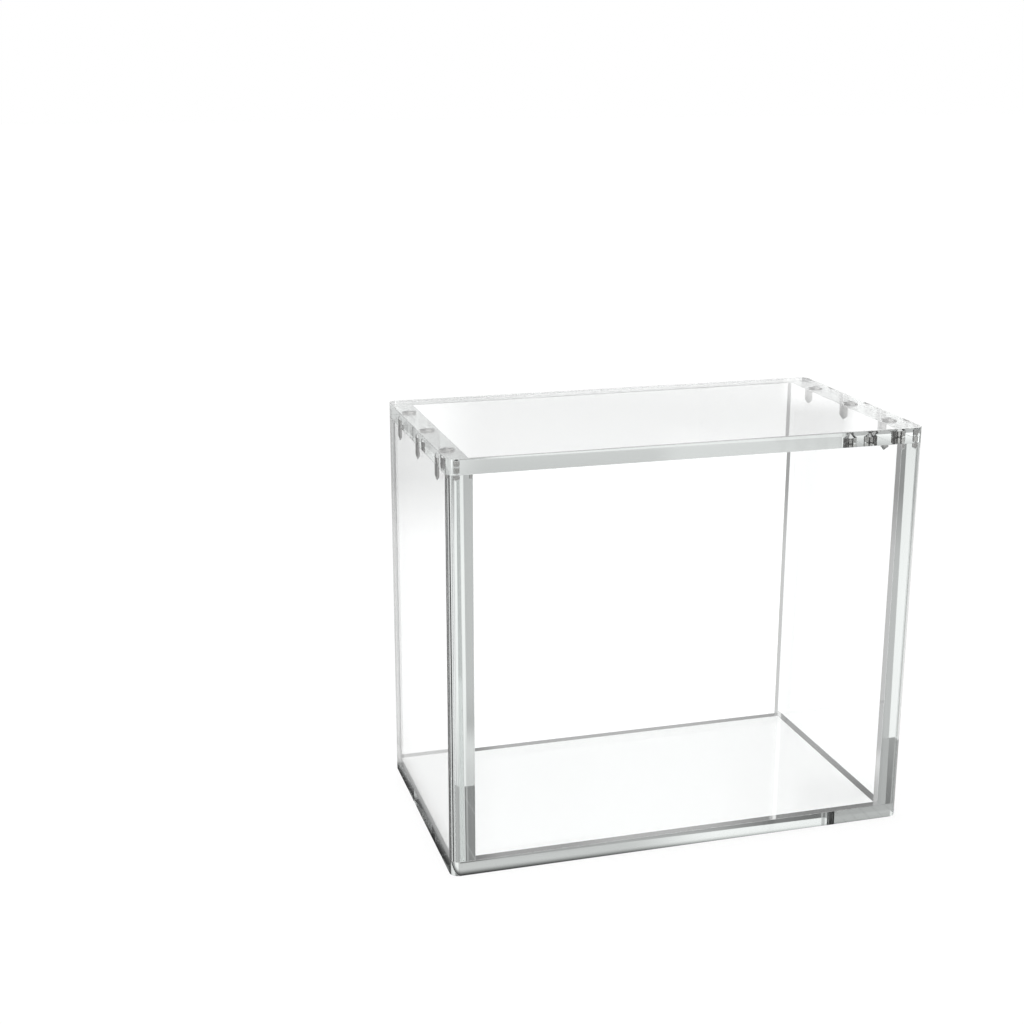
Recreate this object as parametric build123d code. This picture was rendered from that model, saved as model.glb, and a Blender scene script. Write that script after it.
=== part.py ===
"""A clear acrylic display case for one boxed item, with a lift-off lid held by pairs of magnets.

Millimetres. The origin is at the middle of the base's underside, +Z is up, the wide front faces -Y and
+X runs along the case's width. Each piece is cut from flat sheet and lies where it is in the closed case.
"""
from build123d import *
from math import radians, tan
import os

# The room inside, which the boxed item fills with a little play
INSIDE_WIDTH = 144.0
INSIDE_DEPTH = 78.0
INSIDE_HEIGHT = 129.0

# Sheet: thick sides take the magnets, everything else is the thinner sheet
SHEET = 5.0
SIDE_SHEET = 8.0
CORNER_RADIUS = 3.0
EDGE_BREAK = 0.3

# Magnets, in drilled blind holes that end in the drill's point
MAGNET_DIAMETER = 5.0
LID_MAGNET_LENGTH = 2.0
WALL_MAGNET_LENGTH = 4.0
MAGNET_SETBACK = 0.1
MAGNET_PITCH = 27.5
DRILL_POINT_ANGLE = 118.0

# Sizes and heights that follow
WIDTH = INSIDE_WIDTH + 2 * SIDE_SHEET
DEPTH = INSIDE_DEPTH + 2 * SHEET
WALL_FOOT = SHEET
WALL_TOP = WALL_FOOT + INSIDE_HEIGHT
HEIGHT = WALL_TOP + SHEET

SIDES = {"left": -1, "right": 1}
ENDS = {"front": -1, "back": 1}
ROWS = {"front": -1, "middle": 0, "back": 1}


def block(width, depth, height, x=0.0, y=0.0, foot=0.0):
    """A square-cut piece of sheet, placed by the middle of its foot."""
    return Pos(x, y, foot + height / 2) * Box(width, depth, height)


def cover_plate(foot):
    """The base or the lid: a full-size plate with round corners and a fine break on its rim."""
    plate = block(WIDTH, DEPTH, SHEET, foot=foot)
    plate = fillet(plate.edges().filter_by(Axis.Z), CORNER_RADIUS)
    rims = plate.faces().sort_by(Axis.Z)[0].edges() + plate.faces().sort_by(Axis.Z)[-1].edges()
    return chamfer(rims, EDGE_BREAK)


def magnet_places(side):
    """The three magnet centres over one side wall, as row name and (x, y)."""
    x = SIDES[side] * (WIDTH - SIDE_SHEET) / 2
    return {row: (x, place * MAGNET_PITCH) for row, place in ROWS.items()}


def drilled_hole(x, y, magnet_length, up):
    """A blind hole from the joint between walls and lid, up into the lid or down into a wall."""
    radius = MAGNET_DIAMETER / 2
    depth = magnet_length + MAGNET_SETBACK
    point = radius / tan(radians(DRILL_POINT_ANGLE / 2))
    barrel = Pos(0, 0, depth / 2) * Cylinder(radius, depth)
    tip = Pos(0, 0, depth + point / 2) * Cone(radius, 0, point)
    turn = Rot(0, 0, 0) if up else Rot(180, 0, 0)
    return Pos(x, y, WALL_TOP) * turn * (barrel + tip)


def magnet(x, y, length, up):
    """A disc magnet set just below the joint's plane, so that the two discs of a pair never meet."""
    middle = MAGNET_SETBACK + length / 2
    return Pos(x, y, WALL_TOP + (middle if up else -middle)) * Cylinder(MAGNET_DIAMETER / 2, length)


def side_panel(side):
    """A thick side wall with round outer corners and three magnet holes in its top edge."""
    x = SIDES[side] * (WIDTH - SIDE_SHEET) / 2
    panel = block(SIDE_SHEET, DEPTH, INSIDE_HEIGHT, x=x, foot=WALL_FOOT)
    uprights = panel.edges().filter_by(Axis.Z).sort_by(Axis.X)
    outer = uprights[:2] if side == "left" else uprights[-2:]
    panel = fillet(outer, CORNER_RADIUS)
    for place in magnet_places(side).values():
        panel -= drilled_hole(*place, WALL_MAGNET_LENGTH, up=False)
    return panel


def window_panel(end):
    """The front or back wall, which stands between the two side walls."""
    y = ENDS[end] * (DEPTH - SHEET) / 2
    return block(INSIDE_WIDTH, SHEET, INSIDE_HEIGHT, y=y, foot=WALL_FOOT)


def lid_plate():
    """The lid: one plate with six magnet holes in its underside."""
    plate = cover_plate(WALL_TOP)
    for side in SIDES:
        for place in magnet_places(side).values():
            plate -= drilled_hole(*place, LID_MAGNET_LENGTH, up=True)
    return plate


def all_pieces():
    """Every piece of the case by its node's name."""
    pieces = {"base_plate": cover_plate(0.0), "lid_plate": lid_plate()}
    for end in ENDS:
        pieces[f"{end}_panel"] = window_panel(end)
    for side in SIDES:
        pieces[f"{side}_panel"] = side_panel(side)
        for row, place in magnet_places(side).items():
            pieces[f"lid_magnet_{side}_{row}"] = magnet(*place, LID_MAGNET_LENGTH, up=True)
            pieces[f"wall_magnet_{side}_{row}"] = magnet(*place, WALL_MAGNET_LENGTH, up=False)
    return pieces


os.makedirs("parts", exist_ok=True)
for name, piece in all_pieces().items():
    export_step(piece, f"parts/{name}.step")
print(f"outside {WIDTH:g} x {DEPTH:g} x {HEIGHT:g} mm")
print(f"inside {INSIDE_WIDTH:g} x {INSIDE_DEPTH:g} x {INSIDE_HEIGHT:g} mm")
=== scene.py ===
# %% [markdown]
# # A clear acrylic display case
#
# The case is six pieces of polished acrylic sheet and twelve small disc magnets. Four walls stand
# bonded on a base plate, and a full-size lid lifts off. What makes it look real is mostly light:
# every piece has to be a true closed solid, with flat faces that are exactly flat and edges that
# are rounded a little, so that the light bends through it as it does through the real sheet.
#
# Lengths are in metres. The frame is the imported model, and every piece here is placed from it.

from math import cos, pi, radians, sin, tan

import bpy
import numpy as np
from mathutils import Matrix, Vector, geometry


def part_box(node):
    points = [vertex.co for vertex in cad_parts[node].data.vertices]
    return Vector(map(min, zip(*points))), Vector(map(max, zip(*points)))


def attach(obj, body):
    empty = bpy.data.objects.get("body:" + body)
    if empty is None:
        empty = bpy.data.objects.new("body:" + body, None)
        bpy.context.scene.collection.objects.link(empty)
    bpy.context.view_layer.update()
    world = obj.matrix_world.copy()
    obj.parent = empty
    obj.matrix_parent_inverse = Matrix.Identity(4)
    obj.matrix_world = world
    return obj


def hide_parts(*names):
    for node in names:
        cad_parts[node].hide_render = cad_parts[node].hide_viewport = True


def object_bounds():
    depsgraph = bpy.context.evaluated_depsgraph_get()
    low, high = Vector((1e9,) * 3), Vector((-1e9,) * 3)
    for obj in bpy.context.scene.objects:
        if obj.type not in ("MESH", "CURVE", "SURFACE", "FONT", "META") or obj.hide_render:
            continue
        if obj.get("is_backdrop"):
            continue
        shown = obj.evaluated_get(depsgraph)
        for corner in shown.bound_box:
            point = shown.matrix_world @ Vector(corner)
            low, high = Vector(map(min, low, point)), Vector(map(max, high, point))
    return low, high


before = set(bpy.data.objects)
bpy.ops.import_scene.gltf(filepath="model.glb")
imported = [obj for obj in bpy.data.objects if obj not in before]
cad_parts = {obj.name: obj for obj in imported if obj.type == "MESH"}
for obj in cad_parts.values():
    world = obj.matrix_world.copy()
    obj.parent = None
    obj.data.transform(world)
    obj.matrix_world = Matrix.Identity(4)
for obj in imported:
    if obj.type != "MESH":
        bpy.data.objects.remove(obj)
cad_low, cad_high = (np.array(corner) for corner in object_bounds())
MM = 0.001
print("frame", np.round((cad_high - cad_low) / MM, 1), "mm")

# %% [markdown]
# ## A mesh from patches
#
# A flat face next to a rounded edge is the hard part of glass in any renderer: where the two share
# a corner, averaged normals tilt the flat face's shading and the pane looks wavy. So each piece is
# put together from patches. A patch is an array of points, an array of faces, and the exact normal
# of its own surface at every point. Points that two patches share are welded into one, so that the
# mesh is closed, and each face keeps the normals of the patch that it came from.

# %% Patches and welding
WELD = 1e-7


def grid_patch(points, normals, closed):
    """A surface on a grid: points and normals are arrays of rows by columns by 3, and the faces
    are the quads between neighbours. With closed, the last row joins the first."""
    rows, columns = points.shape[:2]
    row = np.arange(rows if closed else rows - 1)[:, None]
    column = np.arange(columns - 1)[None, :]
    here, there = row * columns + column, (row + 1) % rows * columns + column
    quads = np.stack([here, there, there + 1, here + 1], axis=-1).reshape(-1, 4)
    return points.reshape(-1, 3), quads.tolist(), normals.reshape(-1, 3)


def flat_patch(points, faces, normal):
    """A flat surface: every corner has the same normal."""
    return points, faces, np.broadcast_to(np.array(normal, float), points.shape)


def welded(name, patches):
    """One closed mesh from patches, with equal points merged and each patch's normals kept."""
    counts = np.cumsum([0] + [len(points) for points, faces, normals in patches])
    points = np.concatenate([patch[0] for patch in patches])
    normals = np.concatenate([patch[2] for patch in patches])
    cells = np.round(points / WELD).astype(np.int64)
    first, index = np.unique(cells, axis=0, return_index=True, return_inverse=True)[1:]
    index = index.ravel()
    corners = [
        np.array(face) + count for count, patch in zip(counts, patches) for face in patch[1]
    ]
    mesh = bpy.data.meshes.new(name)
    mesh.from_pydata(points[first], [], [index[face].tolist() for face in corners])
    mesh.polygons.foreach_set("use_smooth", np.ones(len(corners), bool))
    mesh.normals_split_custom_set(normals[np.concatenate(corners)])
    piece = bpy.data.objects.new(name, mesh)
    bpy.context.scene.collection.objects.link(piece)
    return piece


# %% [markdown]
# ## Sheet with polished edges
#
# A piece of sheet is its outline carried up through its thickness. The outline is a rectangle with
# a quarter circle at each corner: a large one where the case's outside is rounded, and a tiny one
# where a cut edge has only been polished. The rim between edge and face is a quarter circle too.

# %% The outline and the rim
ARC_STEPS = 20
FINE_STEPS = 4
SMALL_RADIUS = MM


def outline(low, high, radii):
    """Points and outward normals of a rectangle with rounded corners, anticlockwise from above.
    radii are those of the front left, front right, back right and back left corners. A corner's
    point is its arc's centre plus radius times (cos a, sin a), and its normal is (cos a, sin a)."""
    points, normals = [], []
    for corner, radius in enumerate(radii):
        start = pi + corner * pi / 2
        steps = ARC_STEPS if radius > SMALL_RADIUS else FINE_STEPS
        angle = start + np.linspace(0, pi / 2, steps + 1)
        normal = np.stack([np.cos(angle), np.sin(angle)], axis=-1)
        right, back = corner in (1, 2), corner in (2, 3)
        centre = (
            high[0] - radius if right else low[0] + radius,
            high[1] - radius if back else low[1] + radius,
        )
        points.append(np.array(centre) + radius * normal)
        normals.append(normal)
    return np.concatenate(points), np.concatenate(normals)


def rim_profile(foot, top, rim):
    """Rows of (inset, height, tilt) from the lower face to the upper one. On the two rims the inset
    is rim * (1 - cos tilt) and the height moves by rim * (1 - sin tilt), for tilts up to 90 degrees."""
    tilt = np.linspace(pi / 2, 0, FINE_STEPS + 1)
    inset, rise = rim * (1 - np.cos(tilt)), rim * (1 - np.sin(tilt))
    lower = np.stack([inset, foot + rise, -tilt], axis=-1)
    upper = np.stack([inset, top - rise, tilt], axis=-1)[::-1]
    return np.concatenate([lower, upper])


def edge_patch(points, normals, profile):
    """The rim profile carried round the outline: each point moves in along its normal by the inset,
    and its normal leans up or down by the tilt."""
    inset, height, tilt = (profile[:, k][None, :, None] for k in range(3))
    flat = points[:, None, :] - inset * normals[:, None, :]
    place = np.concatenate([flat, np.broadcast_to(height, flat.shape[:2] + (1,))], axis=-1)
    lean = np.concatenate(
        [np.cos(tilt) * normals[:, None, :], np.broadcast_to(np.sin(tilt), flat.shape[:2] + (1,))],
        axis=-1,
    )
    return grid_patch(place, lean, closed=True)


# %% [markdown]
# ## Drilled holes
#
# A magnet sits in a blind hole: a round barrel, and at its end the cone that a drill's point
# leaves. Seen through clear acrylic that small cone of air is one of the brightest and darkest
# things in the picture. The face that the holes open in is cut up by a Delaunay triangulation
# that knows the outline and the holes, which keeps the face exactly flat and the mesh closed.
# Glue fills the gap round a magnet, so that light in the acrylic meets the plating itself. The
# barrel is made a few hundredths of a millimetre tighter than the magnet for that.

# %% Holes and faces
HOLE_STEPS = 40
POINT_ANGLE = radians(118)
VALID_FACES_WITH_HOLES = 5
TRIANGULATION_LIMIT = 1e-9


def circle(x, y, radius, turn):
    """Points of a circle and the unit vectors from its centre. turn is 1 or -1."""
    angle = turn * np.arange(HOLE_STEPS) * 2 * pi / HOLE_STEPS
    unit = np.stack([np.cos(angle), np.sin(angle)], axis=-1)
    return np.array([x, y]) + radius * unit, unit


def hole_patches(x, y, mouth, radius, depth, up):
    """A drilled hole from the height mouth, going up or down: the barrel's normals point at the
    axis, and the cone's lean by half the drill's angle."""
    ring, unit = circle(x, y, radius, 1 if up > 0 else -1)
    floor = mouth + up * depth
    tip = floor + up * radius / tan(POINT_ANGLE / 2)
    barrel = np.stack([np.column_stack([ring, np.full(len(ring), z)]) for z in (floor, mouth)], axis=1)
    inward = np.repeat(np.column_stack([-unit, np.zeros(len(unit))])[:, None, :], 2, axis=1)
    lean = np.column_stack(
        [-unit * cos(POINT_ANGLE / 2), np.full(len(unit), -up * sin(POINT_ANGLE / 2))]
    )
    cone = np.stack([np.broadcast_to([x, y, tip], (len(ring), 3)), barrel[:, 0]], axis=1)
    points, quads, normals = grid_patch(cone, np.repeat(lean[:, None, :], 2, axis=1), closed=True)
    triangles = np.array(quads)[:, [0, 2, 3]].tolist()
    return [grid_patch(barrel, inward, closed=True), (points, triangles, normals)]


def face_patch(rim, height, up, holes, radius):
    """A flat face inside the rim's points, with round openings. up is 1 for an upper face. Each
    triangle whose middle is less than a radius from an opening's centre is left out."""
    loops = [rim] + [circle(x, y, radius, -1)[0] for x, y in holes]
    flat = np.concatenate(loops)
    if holes:
        ends = np.cumsum([0] + [len(loop) for loop in loops])
        edges = [
            (here, here + 1 if here + 1 < stop else start)
            for start, stop in zip(ends, ends[1:])
            for here in range(start, stop)
        ]
        found = geometry.delaunay_2d_cdt(
            [Vector(point) for point in flat], edges, [], VALID_FACES_WITH_HOLES, TRIANGULATION_LIMIT
        )
        order = np.array([sources[0] for sources in found[3]])
        faces = order[np.array(found[2])]
        middle = flat[faces].mean(axis=1)
        for hole in holes:
            solid = np.linalg.norm(middle - np.array(hole), axis=1) > radius
            faces, middle = faces[solid], middle[solid]
        faces = faces.tolist()
    else:
        faces = [list(range(len(rim)))]
    points = np.column_stack([flat, np.full(len(flat), height)])
    if up < 0:
        faces = [face[::-1] for face in faces]
    return flat_patch(points, faces, (0, 0, up))


# %% [markdown]
# ## The air between the pieces
#
# Where two pieces meet, the light sees a hair of air: the edges are polished and butted, so a joint
# shines like a mirror at low angles. Those bright and grey strips along every joint are what draws
# the case. Each piece is therefore made a hundredth of a millimetre smaller all round than the
# frame says, which leaves a film of air in every joint and changes no size that anyone could see.
# A panel's rim is a hair smaller than its corners, so that it never closes to a point there.

# %% One function for all six pieces of sheet
AIR_FILM = 0.01 * MM
CORNER_RADIUS = 3 * MM
POLISH = 0.06 * MM
PLATE_RIM = POLISH
PANEL_RIM = 0.9 * POLISH


def sheet_piece(node, radii, rim, holes=(), hole=(0, 0), opening=0):
    """A piece of sheet that stands for a CAD node and fills its box. holes are the centres of the
    magnet holes, hole is their (radius, depth), and opening says which face they open in."""
    low, high = (np.array(corner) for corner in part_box(node))
    low, high = low + AIR_FILM, high - AIR_FILM
    points, normals = outline(low, high, radii)
    patches = [edge_patch(points, normals, rim_profile(low[2], high[2], rim))]
    inner = points - rim * normals
    for up, height in ((-1, low[2]), (1, high[2])):
        drilled = list(holes) if up == opening else []
        patches.append(face_patch(inner, height, up, drilled, hole[0]))
    for x, y in holes:
        patches += hole_patches(x, y, low[2] if opening < 0 else high[2], *hole, -opening)
    piece = welded(node + "_sheet", patches)
    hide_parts(node)
    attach(piece, "lid" if node.startswith("lid") else "case")
    return piece


# %% Where the magnets are
GLUED_IN = 0.03 * MM
MAGNET_SETBACK = 0.1 * MM


def magnets_in(place, side=""):
    """The names of the magnet nodes in the lid or the walls, on one side or both."""
    return [name for name in sorted(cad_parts) if name.startswith(f"{place}_magnet_{side}")]


def hole_for(nodes):
    """Centres of the magnets' holes, and the (radius, depth) that the holes are drilled to."""
    boxes = [[np.array(corner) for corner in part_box(node)] for node in nodes]
    centres = [tuple(((low + high) / 2)[:2]) for low, high in boxes]
    low, high = boxes[0]
    return centres, ((high - low)[0] / 2 - GLUED_IN, (high - low)[2] + MAGNET_SETBACK)


# %% The base, the lid and the walls
round_corners = [CORNER_RADIUS] * 4
cut_corners = [POLISH] * 4
base = sheet_piece("base_plate", round_corners, PLATE_RIM)
lid_holes, lid_hole = hole_for(magnets_in("lid"))
lid = sheet_piece("lid_plate", round_corners, PLATE_RIM, lid_holes, lid_hole, opening=-1)
sheets = [base, lid]
for end in ("front", "back"):
    sheets.append(sheet_piece(f"{end}_panel", cut_corners, PANEL_RIM))
for side in ("left", "right"):
    rounded = (0, 3) if side == "left" else (1, 2)
    outer = [CORNER_RADIUS if corner in rounded else POLISH for corner in range(4)]
    wall_holes, wall_hole = hole_for(magnets_in("wall", side))
    sheets.append(sheet_piece(f"{side}_panel", outer, PANEL_RIM, wall_holes, wall_hole, opening=1))
print("sheet pieces", {piece.name: len(piece.data.polygons) for piece in sheets})

# %% Magnets
MAGNET_RIM = 0.25 * MM
MAGNET_STEPS = 48


def magnet_piece(node):
    """A disc magnet: a profile turned about its own axis. Its rim is a quarter circle."""
    low, high = (np.array(corner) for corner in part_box(node))
    x, y = ((low + high) / 2)[:2]
    radius = (high - low)[0] / 2
    angle = np.arange(MAGNET_STEPS) * 2 * pi / MAGNET_STEPS
    unit = np.stack([np.cos(angle), np.sin(angle)], axis=-1)
    ring = np.array([x, y]) + radius * unit
    patches = [edge_patch(ring, unit, rim_profile(low[2], high[2], MAGNET_RIM))]
    inner = ring - MAGNET_RIM * unit
    for up, height in ((-1, low[2]), (1, high[2])):
        patches.append(face_patch(inner, height, up, [], 0))
    piece = welded(node + "_disc", patches)
    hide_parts(node)
    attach(piece, "lid" if node.startswith("lid") else "case")
    return piece


magnets = [magnet_piece(node) for node in magnets_in("lid") + magnets_in("wall")]
print("magnets", len(magnets))

# %% [markdown]
# ## Wires
#
# Shader maths reads best as maths. A Wire is one socket that takes part in Python expressions: on
# values, + - * and the comparisons add Math nodes, also with the number first, as in 1 - mask. Any
# other node comes from one method, which sets the node's properties first and its sockets after.


# %% A socket that does arithmetic
class Wire:
    """One output socket of a node tree."""

    def __init__(self, tree, socket=None):
        self.tree, self.socket = tree, socket

    def node(self, kind, settings=None, inputs=None, output=0):
        """Adds a node of a kind. settings are its properties, with a ramp's stops as (place, grey)
        pairs, and inputs its sockets by name or number, each a plain value or a Wire."""
        made = self.tree.nodes.new(kind)
        for name, value in (settings or {}).items():
            if name == "stops":
                while len(made.color_ramp.elements) < len(value):
                    made.color_ramp.elements.new(0.5)
                for stop, (place, grey) in zip(made.color_ramp.elements, value):
                    stop.position, stop.color = place, (grey, grey, grey, 1)
            else:
                setattr(made, name, value)
        for name, value in (inputs or {}).items():
            if isinstance(value, Wire):
                self.tree.links.new(value.socket, made.inputs[name])
            else:
                made.inputs[name].default_value = value
        return Wire(self.tree, made.outputs[output])

    def math(self, operation, *values):
        """A Math node on this value and the others."""
        return self.node("ShaderNodeMath", {"operation": operation}, dict(enumerate((self, *values))))

    def __add__(self, other):
        return self.math("ADD", other)

    def __sub__(self, other):
        return self.math("SUBTRACT", other)

    def __rsub__(self, other):
        return self * -1.0 + other

    def __mul__(self, other):
        return self.math("MULTIPLY", other)

    def __lt__(self, other):
        return self.math("LESS_THAN", other)

    def __gt__(self, other):
        return self.math("GREATER_THAN", other)

    __radd__, __rmul__ = __add__, __mul__

    def smooth(self, start, stop, first=0.0, last=1.0):
        """From first to last as the value goes from start to stop, with no corner at either end."""
        return self.node(
            "ShaderNodeMapRange",
            {"interpolation_type": "SMOOTHSTEP"},
            {"Value": self, 1: start, 2: stop, 3: first, 4: last},
        )

    def mix(self, other, share):
        """This value, with a share of it made the other value."""
        return self.node("ShaderNodeMix", {"data_type": "FLOAT"}, {0: share, 2: self, 3: other})

    def blend(self, first, second):
        """A colour: the first where this value is 0, the second where it is 1."""
        colours = {0: self, 6: (*first, 1), 7: (*second, 1)}
        return self.node("ShaderNodeMix", {"data_type": "RGBA"}, colours, output=2)

    def into(self, node, socket):
        """Links this value to a node's input."""
        self.tree.links.new(self.socket, node.inputs[socket])


def new_material(name):
    """A material with its Principled shader and a Wire to add nodes with."""
    material = bpy.data.materials.new(name)
    material.use_nodes = True
    return material, material.node_tree.nodes["Principled BSDF"], Wire(material.node_tree)


# %% [markdown]
# ## Clear acrylic
#
# Acrylic bends light with an index of about 1.5, and polished all over it has next to no roughness.
# Two things keep it from looking like a mathematical solid. Along a cut edge the light has come a
# long way through the sheet, so the edges take a faint cool grey-green, while a face stays clear.
# And no cast sheet is perfectly flat: a ripple a few centimetres long and thousandths of a
# millimetre high makes the reflections swim a little.

# %% Acrylic for a sheet that is thin along one axis
ACRYLIC_INDEX = 1.52
FACE_TINT = (0.994, 1.0, 0.998)
EDGE_TINT = (0.93, 0.965, 0.95)
RIPPLES = 38.0
RIPPLE_HEIGHT = 0.003 * MM
HAZE_PATCHES = 70.0
MOST_HAZE = 0.004
SURFACES = {"level": (0, 0, 1), "front": (0, 1, 0), "side": (1, 0, 0)}


def clear_acrylic(name, thin_axis):
    """Acrylic whose tint goes from the faces' to the edges' as 1 - |normal . thin axis|."""
    material, shader, wire = new_material(name)
    shader.inputs["IOR"].default_value = ACRYLIC_INDEX
    shader.inputs["Transmission Weight"].default_value = 1.0
    place = wire.node("ShaderNodeTexCoord", output="Object")
    normal = wire.node("ShaderNodeTexCoord", output="Normal")
    along = wire.node(
        "ShaderNodeVectorMath", {"operation": "DOT_PRODUCT"}, {0: normal, 1: thin_axis}, output="Value"
    )
    edge = 1 - along.math("ABSOLUTE")
    tint = edge.smooth(0.2, 0.7).blend(FACE_TINT, EDGE_TINT)
    tint.into(shader, "Base Color")
    ripple = wire.node("ShaderNodeTexNoise", {}, {"Vector": place, "Scale": RIPPLES, "Detail": 1.0})
    wire.node(
        "ShaderNodeBump", {}, {"Height": ripple, "Strength": 1.0, "Distance": RIPPLE_HEIGHT}
    ).into(shader, "Normal")
    haze = wire.node("ShaderNodeTexNoise", {}, {"Vector": place, "Scale": HAZE_PATCHES, "Detail": 3.0})
    haze.smooth(0.5, 0.8, 0.0, MOST_HAZE).into(shader, "Roughness")
    return material


KINDS = {
    "base": "level", "lid": "level", "front": "front", "back": "front", "left": "side", "right": "side",
}
acrylic = {kind: clear_acrylic(f"acrylic_{kind}", axis) for kind, axis in SURFACES.items()}
for piece in sheets:
    piece.data.materials.append(acrylic[KINDS[piece.name.split("_")[0]]])
print("acrylic", list(acrylic))

# %% [markdown]
# ## Nickel plate
#
# The magnets are small neodymium discs with a bright nickel plating. Plating on a tumbled disc is
# never a perfect mirror: it has a fine grain, it is slightly warm, and it is duller in patches.

# %% The magnets' plating
DULL_NICKEL = (0.47, 0.46, 0.45)
BRIGHT_NICKEL = (0.58, 0.57, 0.56)
PLATING_PATCHES = 900.0
GRAINS = 9000.0
GRAIN_HEIGHT = 0.003 * MM
plating, shader, wire = new_material("nickel_plating")
shader.inputs["Metallic"].default_value = 1.0
place = wire.node("ShaderNodeTexCoord", output="Object")
patches = wire.node("ShaderNodeTexNoise", {}, {"Vector": place, "Scale": PLATING_PATCHES, "Detail": 3.0})
patches.smooth(0.3, 0.7).blend(DULL_NICKEL, BRIGHT_NICKEL).into(shader, "Base Color")
patches.smooth(0.3, 0.7, 0.05, 0.1).into(shader, "Roughness")
grain = wire.node("ShaderNodeTexNoise", {}, {"Vector": place, "Scale": GRAINS, "Detail": 2.0})
wire.node(
    "ShaderNodeBump", {}, {"Height": grain, "Strength": 0.3, "Distance": GRAIN_HEIGHT}
).into(shader, "Normal")
for piece in magnets:
    piece.data.materials.append(plating)
print("plated", len(magnets), "magnets")

# %% [markdown]
# ## Camera
#
# The place, the turn and the lens come from the picture: the outer corners of the case, and the
# lines of its edges, fix all of them once the case's own size is known.

# %% The camera
LENS = 55.97
SENSOR = 36
NEAREST = 0.01
CAMERA_PLACE = (-0.1870, -0.4938, 0.2553)
CAMERA_YAW = radians(15.80)
CAMERA_PITCH = radians(16.0)
camera = bpy.data.objects.new("camera", bpy.data.cameras.new("camera"))
camera.data.sensor_width = SENSOR
camera.data.lens = LENS
camera.data.clip_start = NEAREST
camera.location = CAMERA_PLACE
camera.rotation_euler = (pi / 2 - CAMERA_PITCH, 0, -CAMERA_YAW)
scene = bpy.context.scene
scene.collection.objects.link(camera)
scene.camera = camera
scene.view_settings.view_transform = "Standard"
print("camera", LENS, "mm lens")

# %% [markdown]
# ## The studio
#
# A clear case has no colour of its own. What draws it is what its edges reflect, so the studio is
# the real material here. Straight through the panes the eye sees a white sweep. Light that has been
# reflected, in a joint or at an outside face, comes from a ring of tall grey panels, each with its
# own shades from floor to ceiling: bright behind the camera, darkest at the left. A ramp by height
# gives each panel's shades, and a soft step by azimuth joins one panel to the next.

# %% Panels round the case
BOUNCES = 32
scene.cycles.max_bounces = BOUNCES
scene.cycles.transmission_bounces = BOUNCES
scene.cycles.glossy_bounces = BOUNCES
scene.cycles.blur_glossy = 0.0
PANELS = {  # shades by height, in degrees above the horizon
    "left": [
        (-80, 0.2), (-34, 0.1), (-28, 0.015), (-16, 0.05), (-8, 0.2), (0, 0.22), (11, 0.12),
        (24, 0.035), (50, 0.02), (62, 0.3), (80, 1.0),
    ],
    "behind left": [
        (-80, 0.5), (-40, 0.6), (-28, 0.85), (-23, 0.98), (-17, 0.95), (-14.8, 0.5), (0, 0.5),
        (9, 1.25), (15, 1.25), (16.5, 0.47), (29, 0.42), (44, 0.12), (62, 0.5), (80, 1.0),
    ],
    "behind right": [
        (-80, 0.5), (-40, 0.7), (-28, 0.95), (-18, 0.98), (-10, 0.75), (0, 0.7), (9, 1.0),
        (14, 1.0), (16, 0.62), (20, 0.48), (24, 0.42), (29, 0.38), (44, 0.25), (62, 0.9), (80, 1.1),
    ],
    "right": [
        (-80, 0.5), (-40, 0.5), (-20, 0.65), (-8, 0.55), (0, 0.6), (11, 0.85), (24, 0.9),
        (44, 0.7), (62, 1.0), (80, 1.1),
    ],
    "before": [
        (-80, 0.5), (-40, 0.55), (-28, 0.68), (-18, 0.75), (0, 0.8), (11, 0.95), (24, 0.88),
        (29, 0.85), (50, 1.0), (62, 1.2), (80, 1.1),
    ],
}
JOINS = [  # azimuth, softness, and the panel from there on
    (-149, 3, "left"),
    (-32.5, 1, "behind left"),
    (0, 7, "behind right"),
    (38, 4, "right"),
    (142, 4, "before"),
]
world = bpy.data.worlds.new("studio")
scene.world = world
world.use_nodes = True
wire = Wire(world.node_tree)
toward = wire.node("ShaderNodeTexCoord", output="Generated")
east, north, up = (
    wire.node("ShaderNodeSeparateXYZ", {}, {0: toward}, output=k) for k in range(3)
)
azimuth = east.math("ARCTAN2", north) * (180 / pi)
elevation = up.math("ARCSINE") * (180 / pi)


def panel(name):
    """The shade of a panel at the ray's height."""
    stops = [((height + 90) / 180, shade) for height, shade in PANELS[name]]
    height = elevation * (1 / 180) + 0.5
    return height.node("ShaderNodeValToRGB", {"stops": stops}, {0: height})


def window(value, low, high, soft):
    """1 between two values and 0 outside, with soft ends."""
    return value.smooth(low - soft, low + soft) * value.smooth(high - soft, high + soft, 1.0, 0.0)


def card(low_azimuth, high_azimuth, low, high, soft):
    """Where a card or a soft box hangs: 1 inside its azimuths and elevations, 0 outside."""
    return window(azimuth, low_azimuth, high_azimuth, soft) * window(elevation, low, high, soft)


studio = panel("before")
for edge, soft, name in JOINS:
    studio = studio.mix(panel(name), azimuth.smooth(edge - soft, edge + soft))
print("panels", list(PANELS))

# %% [markdown]
# ## Lights and cards
#
# Along its joints the case shows the studio eight times over, since every square corner turns a
# direction into its mirror images. Small cards in those eight places shade one strip each: the
# front of the base, the two posts, the lid's veil. The first light is the key light, a soft box
# behind the camera. The other lights are small: they keep the strip over the right wall as light
# as the veil beside it, and brighten the lid's front edge towards its right end.

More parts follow.
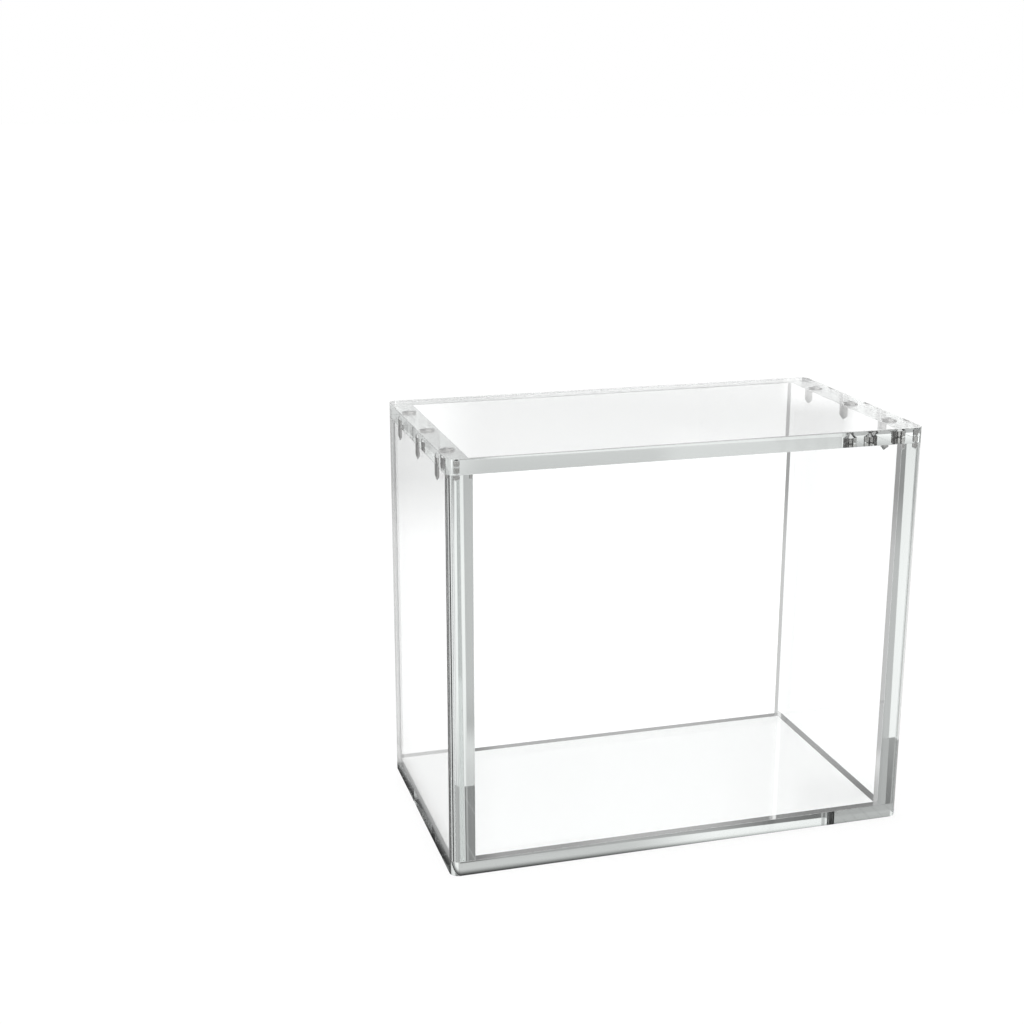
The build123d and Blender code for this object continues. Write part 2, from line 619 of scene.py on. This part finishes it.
# %% Lights and cards
LIGHTS = [  # from and to in azimuth, in elevation, softness, how bright
    (150, 166, 5, 15, 3.0, 0.7),
    (28.1, 31, 10, 14.5, 0.4, 0.8),
    (25.8, 28.1, 9, 11.9, 0.4, 0.6),
    (21.5, 30, 13.2, 16, 0.6, 0.15),
]
for *place, brightness in LIGHTS:
    studio = studio + card(*place) * brightness
CARDS = [  # the same, with how dark at the end
    (161, 176, 24.5, 40, 1.5, 0.97),
    (-40, -20, 13, 17.5, 0.4, 0.62),
    (-35, -26.8, -40, -24.5, 1.0, 0.45),
    (-31.5, -28.6, -24, -13, 0.4, 0.46),
    (-27.2, -24.9, -26, -9, 0.4, 0.4),
    (5, 14.9, 19, 33, 0.6, 0.42),
    (5, 14.9, -24, -13, 0.6, 0.45),
    (5, 22, -40, -24, 2.0, 0.38),
    (13.5, 31, 11, 15.5, 1.5, 0.37),
    (31.5, 60, 11.3, 15, 0.4, 0.14),
    (150.3, 153, -28.5, -25, 0.5, 0.95),
    (118, 130, -58, -51, 1.0, 0.9),
    (24, 32, 17.5, 34, 2.0, 0.25),
    (25, 32, 24.5, 34, 1.5, 0.45),
]
for *place, darkness in CARDS:
    studio = studio * (1 - card(*place) * darkness)
print("lights", len(LIGHTS), "cards", len(CARDS))

# %% [markdown]
# ## White through the panes, grey in the joints
#
# One background has to be two things: white where the eye looks straight through the case, and the
# studio where a joint or an outside face has turned the light. Light Path's Glossy Depth counts
# reflections alone, and so tells the two apart. Each face of a pane takes a few per cent of what
# comes straight through, and THROUGH_PANES gives it back: the inside stays as white as the sweep
# round the case.

# %% The sweep and the studio in one background
THROUGH_PANES = 1.22


def light_path(wire):
    """Whether the light has been reflected, and how bright the sweep is where it hasn't: 1 seen
    directly, THROUGH_PANES behind a pane."""
    reflected = wire.node("ShaderNodeLightPath", output="Glossy Depth") > 0.5
    direct = wire.node("ShaderNodeLightPath", output="Is Camera Ray")
    return reflected, direct.smooth(0, 1, THROUGH_PANES, 1.0)


reflected, sweep = light_path(wire)
background = world.node_tree.nodes["Background"]
background.inputs["Color"].default_value = (1, 1, 1, 1)
sweep.mix(studio, reflected).into(background, "Strength")
print("sweep through the panes", THROUGH_PANES)

# %% [markdown]
# ## The floor
#
# White paper that fades into the background: it glows as white as the sweep, and a share of it is
# matt, so that it keeps the case's soft shadow. A joint that turns the view downwards would show
# the floor close to the case, where the case shades it. That contact shadow is painted: its shade
# depends only on the distance from the footprint, and is laid on the light that a reflection takes
# from below.

# %% The floor
FLOOR_REACH = 6.0
CONTACT_SHADE = 0.06
CONTACT_FROM, CONTACT_TO = 0.3 * MM, 5 * MM
UNDER_THE_CASE = 0.01 * MM
SHADOW_SHARE = 0.16
floor_mesh = bpy.data.meshes.new("floor")
corners = np.array([(-1, -1), (1, -1), (1, 1), (-1, 1)]) * FLOOR_REACH
floor_mesh.from_pydata(np.column_stack([corners, np.zeros(4)]), [], [[0, 1, 2, 3]])
floor = bpy.data.objects.new("floor", floor_mesh)
scene.collection.objects.link(floor)
floor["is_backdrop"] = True
paper = bpy.data.materials.new("white_paper")
paper.use_nodes = True
wire = Wire(paper.node_tree)
paper.node_tree.nodes.remove(paper.node_tree.nodes["Principled BSDF"])
place = wire.node("ShaderNodeTexCoord", output="Object")
half_width, half_depth = cad_high[:2]
away = []
for k, half in enumerate((half_width, half_depth)):
    across = wire.node("ShaderNodeSeparateXYZ", {}, {0: place}, output=k)
    away.append((across.math("ABSOLUTE") - half).math("MAXIMUM", 0.0))
distance = (away[0] * away[0] + away[1] * away[1]).math("SQRT")
# Painted contact shadow: the paper is darkened to CONTACT_SHADE at the case's foot, and is clear again
# by CONTACT_TO.
beside = distance.smooth(CONTACT_FROM, CONTACT_TO, CONTACT_SHADE, 1.0)
painted_contact_shade = beside.math("MAXIMUM", distance < UNDER_THE_CASE)
print("floor", FLOOR_REACH * 2, "m")

# %% The floor's paper
reflected, sweep = light_path(wire)
glow = wire.node("ShaderNodeEmission", {}, {"Color": (1, 1, 1, 1), "Strength": sweep})
matt = wire.node("ShaderNodeBsdfDiffuse", {}, {"Color": (1, 1, 1, 1)})
# Reflections see through the paper, darkened by the painted contact shadow near the case.
open_air = wire.node("ShaderNodeBsdfTransparent", {}, {"Color": painted_contact_shade})
lit = wire.node("ShaderNodeMixShader", {}, {0: SHADOW_SHARE, 1: glow, 2: matt})
shown = wire.node("ShaderNodeMixShader", {}, {0: reflected, 1: lit, 2: open_air})
shown.into(paper.node_tree.nodes["Material Output"], "Surface")
floor_mesh.materials.append(paper)
print("paper", SHADOW_SHARE, "matt")
